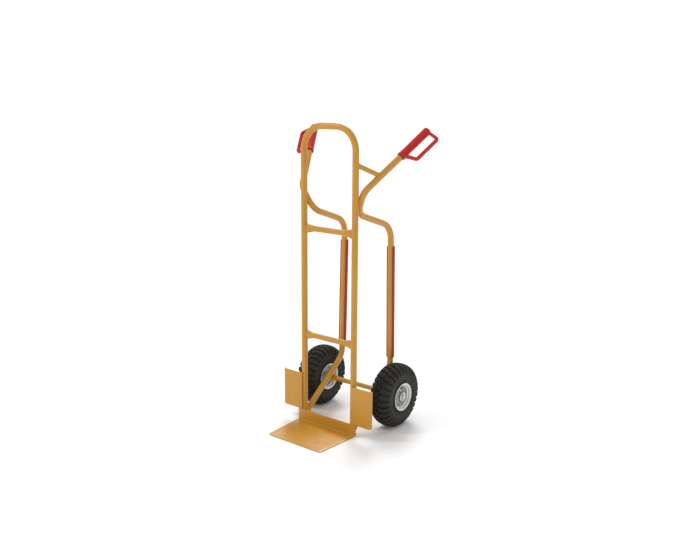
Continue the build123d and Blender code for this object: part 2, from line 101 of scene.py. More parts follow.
def mirrored(mesh, name):
    """The same mesh on the other side of the truck."""
    copy = mesh.copy()
    copy.name = name
    copy.transform(Matrix.Scale(-1, 4, Vector((1, 0, 0))))
    copy.flip_normals()
    return copy


def add_piece(name, mesh, body, slot_name, replaced=(), centre=None):
    """Put a mesh in the scene as a piece that rides on a body."""
    piece = bpy.data.objects.new(name, mesh)
    bpy.context.scene.collection.objects.link(piece)
    if centre is not None:
        piece.location = centre
    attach(piece, body)
    if replaced:
        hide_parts(*replaced)
    mesh.materials.clear()
    mesh.materials.append(looks[slot_name])
    return piece


def settle(mesh, name, modifiers):
    """The mesh after modifiers, given as (kind, settings)."""
    helper = bpy.data.objects.new("helper", mesh)
    bpy.context.scene.collection.objects.link(helper)
    for kind, settings in modifiers:
        modifier = helper.modifiers.new(kind.lower(), kind)
        for key, value in settings.items():
            setattr(modifier, key, value)
    bpy.context.view_layer.update()
    evaluated = helper.evaluated_get(bpy.context.evaluated_depsgraph_get())
    result = bpy.data.meshes.new_from_object(evaluated)
    result.name = name
    bpy.data.objects.remove(helper)
    return result


def turned(name, outline, steps):
    """A closed outline of (along the axle, distance from the axle) turned about X."""
    grid = []
    for step in range(steps):
        turn = 2 * math.pi * step / steps
        grid.append([(along, far * math.cos(turn), far * math.sin(turn)) for along, far in outline])
    return grid_mesh(name, grid, wrap_rows=True, wrap_columns=True)


def squared(value, power):
    """A sine or cosine with its sign kept and its size raised to a power below 1."""
    return math.copysign(abs(value) ** power, value)


def corner_arc(corner, before, after, radius, segments):
    """Points of a round bend at a corner; before and after are unit vectors to its neighbours."""
    half = before.angle(after) / 2
    middle = corner + (before + after).normalized() * (radius / math.sin(half))
    start = corner + before * (radius / math.tan(half)) - middle
    end = corner + after * (radius / math.tan(half)) - middle
    sweep = start.angle(end)
    points = []
    for step in range(segments + 1):
        part = step / segments
        direction = start * math.sin((1 - part) * sweep) + end * math.sin(part * sweep)
        points.append(middle + direction / math.sin(sweep))
    return points


def rounded(points, radii, segments=5):
    """A closed outline with its corners rounded; a corner with radius 0 or no turn is kept."""
    outline = []
    count = len(points)
    for index, (point, radius) in enumerate(zip(points, radii)):
        corner = Vector(point)
        before = (Vector(points[index - 1]) - corner).normalized()
        after = (Vector(points[(index + 1) % count]) - corner).normalized()
        straight = abs(before.angle(after) - math.pi) < 0.02
        if radius == 0 or straight:
            outline.append(tuple(corner))
        else:
            outline += [tuple(point) for point in corner_arc(corner, before, after, radius, segments)]
    return outline


def swept(name, path, first_up, section_at):
    """A closed bar along a path; section_at(index) gives its (side, up) offsets there."""
    grid = []
    up = first_up
    for index, point in enumerate(path):
        ahead = path[min(index + 1, len(path) - 1)] - path[max(index - 1, 0)]
        ahead.normalize()
        up = (up - ahead * up.dot(ahead)).normalized()
        side = ahead.cross(up)
        grid.append([point + side * a + up * b for a, b in section_at(index)])
    return grid_mesh(name, grid, wrap_columns=True, cap_ends=True)


# ---- materials ------------------------------------------------------------------------
class Look:
    """A Principled material with helpers for procedural detail."""

    def __init__(self, name, colour, roughness, metallic=0.0):
        self.material = bpy.data.materials.new(name)
        self.material.use_nodes = True
        self.tree = self.material.node_tree
        self.shader = self.tree.nodes["Principled BSDF"]
        self.shader.inputs["Roughness"].default_value = roughness
        self.shader.inputs["Metallic"].default_value = metallic
        self.shader.inputs["Base Color"].default_value = (*colour, 1)
        self.place = self.node("ShaderNodeTexCoord").outputs["Object"]

    def node(self, kind, **settings):
        made = self.tree.nodes.new(kind)
        for key, value in settings.items():
            setattr(made, key, value)
        return made

    def link(self, start, end):
        self.tree.links.new(start, end)

    def noise(self, scale, detail=3.0, stretch=(1, 1, 1)):
        """Noise with about this many features a metre."""
        texture = self.node("ShaderNodeTexNoise")
        texture.inputs["Scale"].default_value = scale
        texture.inputs["Detail"].default_value = detail
        stretched = self.node("ShaderNodeMapping")
        stretched.inputs["Scale"].default_value = stretch
        self.link(self.place, stretched.inputs["Vector"])
        self.link(stretched.outputs["Vector"], texture.inputs["Vector"])
        return texture.outputs["Fac"]

    def cells(self, scale):
        """Random colour of each cell, with about this many cells a metre."""
        texture = self.node("ShaderNodeTexVoronoi")
        texture.inputs["Scale"].default_value = scale
        self.link(self.place, texture.inputs["Vector"])
        return texture.outputs["Color"]

    def spread(self, value, low, high, start=0.35, end=0.65):
        """A value between start and end, mapped to low and high."""
        mapped = self.node("ShaderNodeMapRange")
        mapped.inputs["From Min"].default_value = start
        mapped.inputs["From Max"].default_value = end
        mapped.inputs["To Min"].default_value = low
        mapped.inputs["To Max"].default_value = high
        self.link(value, mapped.inputs["Value"])
        return mapped.outputs["Result"]

    def edges(self, radius, reach):
        """1 on edges sharper than the radius, 0 on flat faces."""
        bevel = self.node("ShaderNodeBevel", samples=4)
        bevel.inputs["Radius"].default_value = radius
        normal = self.node("ShaderNodeNewGeometry").outputs["Normal"]
        dot = self.node("ShaderNodeVectorMath", operation="DOT_PRODUCT")
        self.link(bevel.outputs["Normal"], dot.inputs[0])
        self.link(normal, dot.inputs[1])
        return self.spread(dot.outputs["Value"], 1.0, 0.0, 1.0 - reach, 1.0)

    def times(self, one, other):
        """Product of two values."""
        product = self.node("ShaderNodeMath", operation="MULTIPLY")
        self.link(one, product.inputs[0])
        self.link(other, product.inputs[1])
        return product.outputs["Value"]

    def blend(self, factor, one, other):
        """A colour between two colours or two colour outputs."""
        mix = self.node("ShaderNodeMix", data_type="RGBA")
        self.link(factor, mix.inputs["Factor"])
        for value, socket in ((one, mix.inputs["A"]), (other, mix.inputs["B"])):
            colour_sockets = [s for s in mix.inputs if s.type == "RGBA" and s.name == socket.name]
            if isinstance(value, tuple):
                colour_sockets[0].default_value = (*value, 1)
            else:
                self.link(value, colour_sockets[0])
        return [s for s in mix.outputs if s.type == "RGBA"][0]

    def colour(self, output):
        self.link(output, self.shader.inputs["Base Color"])

    def roughness(self, output):
        self.link(output, self.shader.inputs["Roughness"])

    def bump(self, heights, distance):
        """Bump from (height output, strength) pairs, one on another."""
        normal = None
        for height, strength in heights:
            bump = self.node("ShaderNodeBump")
            bump.inputs["Strength"].default_value = strength
            bump.inputs["Distance"].default_value = distance
            self.link(height, bump.inputs["Height"])
            if normal is not None:
                self.link(normal, bump.inputs["Normal"])
            normal = bump.outputs["Normal"]
        self.link(normal, self.shader.inputs["Normal"])


TREAD_SHADE_START = 100 * mm           # distances from the axle between which the wall's colour turns into the tread's painted shade
TREAD_SHADE_FULL = 121 * mm
AXLE_PAINT_END = 152.5 * mm   # distances from the middle plane between which paint turns to steel
AXLE_BARE_START = 153.5 * mm
PAINT_LIGHT = (0.570, 0.276, 0.024)
PAINT_DARK = (0.530, 0.250, 0.020)


def yellow_paint():
    """Gloss enamel over steel: orange peel, slow colour drift, thin wear on edges."""
    look = Look("yellow_paint", PAINT_LIGHT, 0.33)
    drift = look.spread(look.noise(7, 2), 0.0, 1.0)
    body = look.blend(drift, PAINT_LIGHT, PAINT_DARK)
    specks = look.spread(look.noise(900, 1), 0.0, 1.0, 0.70, 0.74)
    speckled = look.times(specks, look.spread(look.noise(25, 2), 0.0, 0.5))
    body = look.blend(speckled, body, (0.34, 0.165, 0.018))
    chips = look.spread(look.noise(160, 4), 0.0, 1.0, 0.60, 0.64)
    worn = look.times(look.edges(1.2 * mm, 0.25), chips)
    look.colour(look.blend(worn, body, (0.22, 0.145, 0.07)))
    smooth = look.spread(look.noise(18, 4), 0.27, 0.40)
    look.roughness(smooth)
    look.bump([(look.noise(330, 2), 0.10), (look.noise(60, 2), 0.06)], 0.5 * mm)
    look.shader.inputs["Specular IOR Level"].default_value = 0.4
    look.shader.inputs["Coat Weight"].default_value = 0.24
    look.shader.inputs["Coat Roughness"].default_value = 0.20
    return look.material


def red_plastic():
    """Moulded plastic with a fine spark-eroded grain and rubbed edges."""
    look = Look("red_plastic", (0.50, 0.016, 0.010), 0.42)
    drift = look.spread(look.noise(22, 3), 0.0, 1.0)
    body = look.blend(drift, (0.53, 0.018, 0.010), (0.46, 0.012, 0.008))
    rubbed = look.times(look.edges(1.5 * mm, 0.3), look.spread(look.noise(120, 3), 0.0, 0.4))
    look.colour(look.blend(rubbed, body, (0.58, 0.050, 0.03)))
    look.shader.inputs["Specular IOR Level"].default_value = 0.3
    look.roughness(look.spread(look.noise(45, 4), 0.34, 0.50))
    look.bump([(look.noise(1500, 2), 0.22), (look.noise(90, 2), 0.06)], 0.3 * mm)
    return look.material


def tyre_rubber():
    """Black rubber with a mould texture and dust in patches; the tread has painted shade, darker than the
    wall.
    """
    look = Look("tyre_rubber", (0.022, 0.021, 0.019), 0.75)
    patches = look.spread(look.noise(14, 4), 0.0, 1.0)
    dust = look.times(patches, look.spread(look.noise(170, 5), 0.1, 1.0))
    wall = look.blend(dust, (0.030, 0.0285, 0.026), (0.052, 0.0485, 0.043))
    # painted shade: the tread's colours are darker than the wall's, as if the tread got less light
    tread = look.blend(dust, (0.019, 0.018, 0.0165), (0.036, 0.0337, 0.031))
    off_axle = look.node("ShaderNodeVectorMath", operation="MULTIPLY")
    off_axle.inputs[1].default_value = (0, 1, 1)
    look.link(look.place, off_axle.inputs[0])
    reach = look.node("ShaderNodeVectorMath", operation="LENGTH")
    look.link(off_axle.outputs["Vector"], reach.inputs[0])
    # mask of the tread's painted shade, rising with distance from the axle
    tread_shade_mask = look.spread(reach.outputs["Value"], 0.0, 1.0, TREAD_SHADE_START, TREAD_SHADE_FULL)
    look.colour(look.blend(tread_shade_mask, wall, tread))
    look.roughness(look.spread(look.noise(40, 3), 0.68, 0.86))
    look.shader.inputs["Specular IOR Level"].default_value = 0.25
    look.bump([(look.noise(1100, 3), 0.25), (look.noise(150, 3), 0.12)], 0.4 * mm)
    return look.material


def zinc_steel():
    """Zinc plate: soft crystal patches, fine drawing lines and a few dull spots."""
    look = Look("zinc_steel", (0.70, 0.71, 0.695), 0.4, 0.5)
    patch = look.spread(look.cells(110), 0.0, 1.0, 0.0, 1.0)
    body = look.blend(patch, (0.76, 0.775, 0.755), (0.65, 0.670, 0.650))
    dull = look.spread(look.noise(55, 5), 0.0, 0.55, 0.55, 0.72)
    look.colour(look.blend(dull, body, (0.48, 0.49, 0.475)))
    look.roughness(look.spread(look.noise(30, 5), 0.32, 0.50))
    look.bump([(look.noise(420, 3), 0.10), (look.noise(1400, 1, (0.1, 1, 1)), 0.05)], 0.3 * mm)
    return look.material


def skid_red():
    """The skid strips' darker, duller red plastic, scuffed along its length."""
    look = Look("skid_red", (0.36, 0.022, 0.012), 0.5)
    drift = look.spread(look.noise(16, 3, (1, 1, 0.3)), 0.0, 1.0)
    body = look.blend(drift, (0.39, 0.024, 0.013), (0.33, 0.018, 0.011))
    scuffs = look.spread(look.noise(240, 4, (1, 1, 0.12)), 0.0, 0.5, 0.60, 0.72)
    look.colour(look.blend(scuffs, body, (0.46, 0.07, 0.04)))
    look.shader.inputs["Specular IOR Level"].default_value = 0.3
    look.roughness(look.spread(look.noise(45, 4), 0.42, 0.60))
    look.bump([(look.noise(1500, 2), 0.22), (look.noise(260, 3, (1, 1, 0.12)), 0.10)], 0.3 * mm)
    return look.material


def axle_finish():
    """Yellow enamel between the wheels and bare plated steel at the axle's ends."""
    look = Look("axle_finish", PAINT_LIGHT, 0.35)
    across = look.node("ShaderNodeSeparateXYZ")
    look.link(look.place, across.inputs["Vector"])
    distance = look.node("ShaderNodeMath", operation="ABSOLUTE")
    look.link(across.outputs["X"], distance.inputs[0])
    bare = look.spread(distance.outputs["Value"], 0.0, 1.0, AXLE_PAINT_END, AXLE_BARE_START)
    paint = look.blend(look.spread(look.noise(9, 2), 0.0, 1.0), PAINT_LIGHT, PAINT_DARK)
    steel = look.blend(look.spread(look.noise(140, 4), 0.0, 1.0), (0.60, 0.60, 0.59), (0.48, 0.48, 0.47))
    look.colour(look.blend(bare, paint, steel))
    look.link(bare, look.shader.inputs["Metallic"])
    look.roughness(look.spread(look.noise(40, 4), 0.26, 0.42))
    look.bump([(look.noise(330, 2), 0.10)], 0.4 * mm)
    return look.material


def plain_look(name, light, dark, roughness, grain, metallic=0.0):
    """Mottled moulded or ground material with a fine grain."""
    look = Look(name, light, (roughness[0] + roughness[1]) / 2, metallic)
    look.colour(look.blend(look.spread(look.noise(60, 4), 0.0, 1.0), light, dark))
    look.roughness(look.spread(look.noise(90, 3), *roughness))
    look.bump([(look.noise(grain, 2), 0.15)], 0.25 * mm)
    return look.material


looks = {
    "yellow_paint": yellow_paint(),
    "red_plastic": red_plastic(),
    "tyre_rubber": tyre_rubber(),
    "zinc_steel": zinc_steel(),
    "butyl_rubber": plain_look(
        "butyl_rubber", (0.028, 0.027, 0.027), (0.018, 0.018, 0.018), (0.4, 0.55), 900),
    "black_plastic": plain_look(
        "black_plastic", (0.030, 0.030, 0.031), (0.019, 0.019, 0.020), (0.38, 0.52), 1300),
    "cage_nylon": plain_look(
        "cage_nylon", (0.72, 0.69, 0.60), (0.64, 0.60, 0.50), (0.4, 0.55), 1100),
    "bearing_steel": plain_look(
        "bearing_steel", (0.66, 0.66, 0.67), (0.58, 0.58, 0.59), (0.14, 0.26), 2500, 1.0),
}
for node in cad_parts.values():
    for material_slot in node.material_slots:
        material_slot.material = looks[material_slot.material.name]
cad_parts["axle"].material_slots[0].material = axle_finish()
strip_material = skid_red()
for side_name in SIDES:
    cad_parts[side_name + "_skid_strip"].material_slots[0].material = strip_material


# ---- tyres ----------------------------------------------------------------------------
TYRE_HALF_WIDTH = 46.0
TYRE_RADIUS = 130.0
TYRE_EQUATOR = 90.0           # distance of the widest point from the axle
TYRE_FOOT = (40.5, 60.5)      # where the wall meets the rim: across, distance from the axle
LUGS = 30
LUG_HEIGHT = 6.2
SQUARENESS = 2.4              # power of the superellipse that the section follows; 2 is an ellipse
# one pitch of the tread: (part of the pitch, depth as part of the lug height)
GROOVE = [
    (0.00, 0.14), (0.035, 1.0), (0.16, 1.0), (0.285, 1.0),
    (0.32, 0.14), (0.36, 0.0), (0.66, 0.0), (0.96, 0.0),
]
# how far round each band of rows is turned, and how deep its grooves and floor lie, as parts of
# the pitch and of the lug height
BAND_SHIFT = {"rib": 0.0, "slot": 0.12, "lug": 0.25, "wall": 0.41}
GROOVE_PART = {"rib": 0.75, "slot": 0.0, "lug": 1.0, "wall": 0.0}
FLOOR_PART = {"rib": 0.0, "slot": 1.0, "lug": 0.0, "wall": 0.0}
LUG_SLANT = 0.16              # how much further round, in pitches, a lug reaches at its outer end
SLANT_START = 10.0            # distance across at which the slant starts, and how far it runs
SLANT_LENGTH = 24.0
WALL_CURVE = 2.4
WALL_SINK = 1.0               # how far the plain wall lies inside the tyre's widest outline
SKIRT_START = 92.0            # above this distance from the axle the wall tucks in under the lugs
SKIRT_LENGTH = 14.0
SKIRT_PART = 0.42             # how far it tucks in over that length, as a part of the lug height
WALL_RINGS = {96.5: 0.9, 95.4: 0.9, 77.0: 0.7, 76.2: 0.7, 67.0: 1.0, 65.6: 1.0}


def tyre_rows():
    """Rows from the crown's middle to under the lugs: (across, far, out x, out r, band, extra).

    band is "rib", "slot", "lug" or "wall"; extra raises a row, in millimetres, or sinks it below 0.
    """
    power = 2 / SQUARENESS
    height = TYRE_RADIUS - TYRE_EQUATOR

    def upper(across, band, extra=0.0):
        turn = math.acos((across / TYRE_HALF_WIDTH) ** (1 / power))
        return bend(turn, band, extra)

    def bend(turn, band, extra=0.0):
        across = TYRE_HALF_WIDTH * math.cos(turn) ** power
        far = TYRE_EQUATOR + height * math.sin(turn) ** power
        out = Vector((
            (across / TYRE_HALF_WIDTH) ** (SQUARENESS - 1),
            ((far - TYRE_EQUATOR) / height) ** (SQUARENESS - 1),
        ))
        out.normalize()
        return (across, far, out.x, out.y, band, extra)

    rows = [upper(across, "rib") for across in (0.0, 3.5, 6.4)]
    rows += [upper(6.9, "rib", -0.7), upper(7.6, "slot"), upper(9.4, "slot"), upper(10.1, "lug", -0.7)]
    rows += [upper(across, "lug") for across in (10.7, 15.0, 20.0, 25.0, 29.0, 32.5, 35.5)]
    rows += [bend(math.radians(angle), "lug") for angle in (38, 32, 26, 20, 14, 9)]
    rows += [bend(math.radians(7.9), "lug", -0.8)]
    rows += [bend(math.radians(angle), "wall", -LUG_HEIGHT * 0.5) for angle in (6.9, 5.6, 4.2)]
    return rows


def side_rows():
    """The smooth sidewall with its thin raised rings, from under the lugs to the bead."""
    rows = []
    lean = TYRE_HALF_WIDTH - TYRE_FOOT[0]
    span = TYRE_EQUATOR - TYRE_FOOT[1]
    stations = (
        100.0, 97.0, 96.5, 95.4, 94.9, 91.0, 87.0, 83.0, 80.0, 77.4, 77.0,
        76.2, 75.8, 73.0, 70.0, 67.5, 67.0, 65.6, 65.1, 63.0, 60.5,
    )
    for far in stations:
        drop = max(0.0, (TYRE_EQUATOR - far) / span)
        across = TYRE_HALF_WIDTH - lean * drop ** WALL_CURVE
        across -= LUG_HEIGHT * SKIRT_PART * max(0.0, (far - SKIRT_START) / SKIRT_LENGTH)
        across += WALL_RINGS.get(far, 0.0) - WALL_SINK
        rows.append((across, far, 1.0, 0.0, "wall", 0.0))
    return rows


def tyre_point(turn, across, far):
    """A point of the tyre from its turn about the axle and millimetres across and out."""
    return (across * mm, far * mm * math.cos(turn), far * mm * math.sin(turn))


def make_tyre(side_name):
    """Block-tread tyre as one closed skin; the lugs of its two shoulders are staggered."""
    half = tyre_rows() + side_rows()
    inside = [
        (40.5, 51.0), (32.5, 51.0), (34.5, 63.0), (38.5, 78.0),
        (37.0, 98.0), (30.0, 109.0), (14.0, 116.5),
    ]
    pitch = 2 * math.pi / LUGS
    grid = []
    for lug in range(LUGS):
        for part, depth in GROOVE:
            row = []
            for side in (1, -1):
                ring = []
                for across, far, out_x, out_r, band, extra in half[::side]:
                    if side == -1 and across == 0.0:
                        continue
                    shift = BAND_SHIFT[band]
                    if band == "lug":
                        shift += LUG_SLANT * min(1.0, max(0.0, (across - SLANT_START) / SLANT_LENGTH))
                    sunk = (GROOVE_PART[band] * depth + FLOOR_PART[band]) * LUG_HEIGHT - extra
                    turn = pitch * (lug + part + side * shift)
                    ring.append(tyre_point(turn, side * (across - out_x * sunk), far - out_r * sunk))
                turn = pitch * (lug + part + side * BAND_SHIFT["wall"])
                back = [tyre_point(turn, side * across, far) for across, far in inside[::side]]
                row += ring + back if side == 1 else back + ring
            grid.append(row)
    node = side_name + "_tyre"
    mesh = grid_mesh(node, grid, wrap_rows=True, wrap_columns=True)
    sharpen(mesh, 38)
    if side_name == "left":
        mesh = mirrored(mesh, node)
    centre = wheel_centre(side_name)
    add_piece(side_name + "_block_tyre", mesh, side_name + "_wheel", "tyre_rubber", [node], centre)


# ---- rims -----------------------------------------------------------------------------
def make_rims(side_name):
    """Two pressed rim halves with rolled lips, as turned sheet with soft bends."""
    sheet = [
        (0.0, 19.2), (2.0, 19.2), (2.0, 44.0), (33.0, 44.0), (36.0, 48.8),
        (43.0, 48.8), (43.0, 53.5), (46.0, 54.7), (46.0, 57.0), (42.0, 57.0),
        (41.0, 55.0), (41.0, 50.8), (35.0, 50.8), (32.0, 46.0), (0.0, 46.0),
    ]
    bends = [0.2, 0.2, 3.5, 1.6, 1.6, 2.0, 1.4, 1.0, 1.0, 0.8, 0.8, 0.8, 1.2, 1.2, 0.0]
    for half, facing in (("outer", 1), ("inner", -1)):
        toward = facing * SIDES[side_name]
        outline = [(toward * along * mm, far * mm) for along, far in rounded(sheet, bends)]
        node = f"{side_name}_{half}_rim"
        mesh = turned(node, outline, 120)
        sharpen(mesh, 50)
        centre = wheel_centre(side_name)
        add_piece(node + "_pressing", mesh, side_name + "_wheel", "zinc_steel", [node], centre)


# ---- hand grips -----------------------------------------------------------------------
NECK = place(152.3, 16.5, 962.0)
HANDLE = Vector((371, 660, 653)).normalized()
GUARD = Vector((0.920, -0.164, -0.357)).normalized()
GRIP_START = 196.5 * mm       # from the neck along the handle to the sleeve's lower end
GUARD_ROOT, GUARD_TIP = 8.5 * mm, 141.0 * mm        # where the guard leaves the sleeve
GUARD_NEAR, GUARD_FAR = 24.7 * mm, 136.0 * mm       # ends of its outer bar, along the sleeve
GUARD_REACH = 64.0 * mm
GUARD_BEND = 9 * mm
GUARD_HALF_WIDTH, GUARD_HALF_DEPTH = 7.4, 6.0
GUARD_CORNERS = 0.6           # 1 would make the guard's bar elliptical, 0 rectangular
ROOT_PART = 0.16              # parts of the guard's length over which its two ends swell
TIP_PART = 0.12


def filleted(corners, radius, step):
    """Points along straight runs joined by round bends, about a step apart."""
    points = []
    for index, corner in enumerate(corners):
        if index in (0, len(corners) - 1):
            points.append(corner.copy())
            continue
        before = (corners[index - 1] - corner).normalized()
        after = (corners[index + 1] - corner).normalized()
        points += corner_arc(corner, before, after, radius, 8)
    path = [points[0]]
    for point in points[1:]:
        gap = point - path[-1]
        pieces = max(1, round(gap.length / step))
        origin = path[-1].copy()
        path += [origin + gap * ((count + 1) / pieces) for count in range(pieces)]
    return path


def grip_sleeve():
    """The sleeve: a collar at its base, a slim waist and a rounded closed end."""
    base = NECK + HANDLE * GRIP_START
    side = HANDLE.cross(GUARD)
    stations = [
        (0.0, 10.0), (0.0, 16.4), (0.9, 17.2), (5.0, 17.2), (7.5, 16.3),
        (14.0, 15.6), (30.0, 15.3), (60.0, 15.4), (90.0, 15.6), (120.0, 15.7),
        (138.0, 16.0), (144.5, 15.6), (147.3, 14.2), (148.7, 11.6), (149.0, 7.0),
    ]
    grid = []
    for along, radius in stations:
        ring = []
        for step in range(48):
            turn = 2 * math.pi * step / 48
            around = GUARD * math.cos(turn) + side * math.sin(turn)
            ring.append(base + HANDLE * (along * mm) + around * (radius * mm))
        grid.append(ring)
    return grid_mesh("sleeve", grid, wrap_columns=True, cap_ends=True)


def grip_guard():
    """The knuckle guard: a bar of rounded section, thicker where it leaves the sleeve."""
    base = NECK + HANDLE * GRIP_START
    reach = GUARD * GUARD_REACH
    corners = [
        base + HANDLE * GUARD_ROOT,
        base + HANDLE * GUARD_NEAR + reach,
        base + HANDLE * GUARD_FAR + reach,
        base + HANDLE * GUARD_TIP,
    ]
    path = filleted(corners, GUARD_BEND, 3 * mm)
    count = len(path)

    def ring(index):
        part = index / (count - 1)
        root = max(0.0, 1 - part / ROOT_PART)
        tip = max(0.0, (part - (1 - TIP_PART)) / TIP_PART)
        half_width = (GUARD_HALF_WIDTH + 3.0 * root ** 2 + tip) * mm
        half_depth = (GUARD_HALF_DEPTH + 3.6 * root ** 2 - 0.5 * tip) * mm
        points = []
        for step in range(24):
            turn = 2 * math.pi * step / 24
            points.append((
                half_width * squared(math.cos(turn), GUARD_CORNERS),
                half_depth * squared(math.sin(turn), GUARD_CORNERS),
            ))
        return points

    return swept("guard", path, -HANDLE, ring)


def make_grips():
    """One moulding each side: sleeve and knuckle guard run into each other."""
    work = bmesh.new()
    work.from_mesh(grip_sleeve())
    work.from_mesh(grip_guard())
    bmesh.ops.recalc_face_normals(work, faces=work.faces)
    joined = bpy.data.meshes.new("grip")
    work.to_mesh(joined)
    work.free()
    recipe = [
        ("REMESH", {"mode": "VOXEL", "voxel_size": 1.3 * mm, "use_smooth_shade": True}),
        ("SMOOTH", {"factor": 0.5, "iterations": 9}),
    ]
    right = settle(joined, "right_grip", recipe)
    for side_name, mesh in (("right", right), ("left", mirrored(right, "left_grip"))):
        add_piece(side_name + "_grip_moulding", mesh, "frame", "red_plastic", [side_name + "_handgrip"])


# ---- sheet metal ----------------------------------------------------------------------
def sheet_piece(node, grid, thickness):
    """A bent sheet from its outer skin, with thickness and softened edges, in place of a node."""
    softened = {"width": 0.7 * mm, "segments": 3, "limit_method": "ANGLE", "angle_limit": math.radians(50)}
    recipe = [("SOLIDIFY", {"thickness": thickness, "offset": -1.0}), ("BEVEL", softened)]
    mesh = settle(grid_mesh(node, grid), node, recipe)
    sharpen(mesh, 60)
    add_piece(node + "_sheet", mesh, "frame", "yellow_paint", [node])


def make_toe_plate():
    """Bent toe plate: a tapered blade with rounded front corners and a low flange."""
    low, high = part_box("toe_plate")
    thick = 4.0 * mm
    bend = 7.0 * mm               # outside radius between blade and flange
    corner = 9.0 * mm             # radius of the blade's front corners, seen from above
    rear_half = (high.x - low.x) / 2
    front_half = 132.5 * mm
    stations = []                 # (behind, height, cut off each side)
    for step in range(7):
        turn = math.pi / 2 * step / 6
        stations.append((low.y + corner * (1 - math.cos(turn)), low.z, corner * (1 - math.sin(turn))))
    blade = high.y - bend - low.y
    for step in range(1, 13):
        behind = corner + (blade - corner) * step / 12
        stations.append((low.y + behind, low.z, 0.0))
    for step in range(1, 7):
        turn = math.pi / 2 * step / 6
        stations.append((high.y - bend + bend * math.sin(turn), low.z + bend * (1 - math.cos(turn)), 0.0))
    for step in range(1, 5):
        stations.append((high.y, low.z + bend + (high.z - low.z - bend) * step / 4, 0.0))
    grid = []
    for behind, height, cut in stations:
        part = min(1.0, (behind - low.y) / (high.y - low.y))
        half = front_half + (rear_half - front_half) * part - cut
        grid.append([(half * (column / 10 - 1), behind, height) for column in range(21)])
    sheet_piece("toe_plate", grid, -thick)


def make_wheel_guards():
    """Flat guards with a short folded edge and a rounded lower corner."""
    for side_name, side in SIDES.items():
        low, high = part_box(side_name + "_wheel_guard")
        inner = min(abs(low.x), abs(high.x))
        outer = max(abs(low.x), abs(high.x))
        thick = 3.0 * mm
        radius = 2.5 * mm         # of the fold
        corner = 9.0 * mm         # radius of the lower corner
        flat = outer - radius - inner
        arc = radius * math.pi / 2
        full = flat + arc + (high.y - low.y - radius)

        def folded(along):
            """Across and behind, at a distance along the sheet from its inner edge."""
            if along <= flat:
                return inner + along, low.y
            if along <= flat + arc:
                turn = (along - flat) / radius
                return outer - radius + radius * math.sin(turn), low.y + radius * (1 - math.cos(turn))
            return outer, low.y + radius + along - flat - arc

        heights = [low.z + corner * (1 - math.cos(math.pi / 2 * step / 6)) for step in range(7)]
        heights += [low.z + corner + (high.z - low.z - corner) * step / 6 for step in range(1, 7)]
        stops = [flat * step / 8 for step in range(8)] + [flat + arc * step / 5 for step in range(6)]
        grid = []
        for height in heights:
            drop = max(0.0, corner - (height - low.z))
            cut = corner - math.sqrt(max(0.0, corner ** 2 - drop ** 2))
            limit = full - cut
            row = []
            for stop in [*stops, full]:
                across, behind = folded(min(limit, stop * limit / full if drop > 0 else stop))
                row.append((side * across, behind, height))
            grid.append(row)
        sheet_piece(side_name + "_wheel_guard", grid, -side * thick)


# ---- weld beads -----------------------------------------------------------------------
SMALL_BEAD = 1.7 * mm
SHEET_BEAD = 1.5 * mm
NECK_BEAD = 2.3 * mm
BEAD_RIPPLE = 3.0 * mm        # length of one ripple
UPRIGHT_X = 126.0             # across, from the middle to the right upright's centre line
BRACE_RADIUS = 9 * mm
BRACE_TOP = 1064.0
BRACE_ALONG_HANDLE = 89.5 * mm        # from the neck to where the brace meets the handle
LEG_START = place(UPRIGHT_X, 0, 24.0)
LEG_END = place(127.6, 246.0, 219.0)
LOW_NECK = place(109.7, 34.1, 875.0)
NECK_BEAD_START, NECK_BEAD_LENGTH = 0.44, 0.32      # parts of the way from LOW_NECK to NECK
GUARD_BEAD_EDGES = ((124.9, -12.9), (131.6, -11.3))     # (across, behind)
GUARD_BEAD_BOTTOMS = (70.0, 118.0, 166.0)
GUARD_BEAD_LENGTH = 22
AXLE_BEAD_RADIUS = 10.6 * mm
AXLE_BEADS_ACROSS = (122.4, 129.6)    # both faces of the axle bracket
MOUTH_MIDDLE, MOUTH_HALF_DEPTH, MOUTH_HALF_HEIGHT = 1.2, 6.6, 19.6     # a crossbar's flared end
MOUTH_CORNERS = 0.8


def bead(work, path, closed, radius):
    """A rippled weld bead along a path, added to a bmesh; an open bead's ends taper."""
    count = len(path)
    rings = []
    run = 0.0
    for index, point in enumerate(path):
        before = path[index - 1] if closed or index else point
        after = path[(index + 1) % count] if closed or index < count - 1 else point
        ahead = (after - before).normalized()
        side = ahead.orthogonal().normalized()
        up = ahead.cross(side)
        if rings:
            run += (point - path[index - 1]).length
        swell = 1 + 0.14 * math.sin(2 * math.pi * run / BEAD_RIPPLE)
        if not closed:
            swell *= 0.35 + 0.65 * min(1.0, index / 3, (count - 1 - index) / 3)
        ring = []
        for step in range(8):
            turn = 2 * math.pi * step / 8
            offset = (side * math.cos(turn) + up * math.sin(turn)) * radius * swell
            ring.append(work.verts.new(point + offset))
        rings.append(ring)
    last = count if closed else count - 1
    for index in range(last):
        one, two = rings[index], rings[(index + 1) % count]
        shift = 0
        if closed and index == count - 1:
            shift = min(range(8), key=lambda corner: (one[0].co - two[corner].co).length)
        for step in range(8):
            a, b = one[step], one[(step + 1) % 8]
            c, d = two[(step + 1 + shift) % 8], two[(step + shift) % 8]
            work.faces.new((a, b, c, d))
    if not closed:
        work.faces.new(rings[0])
        work.faces.new(rings[-1])


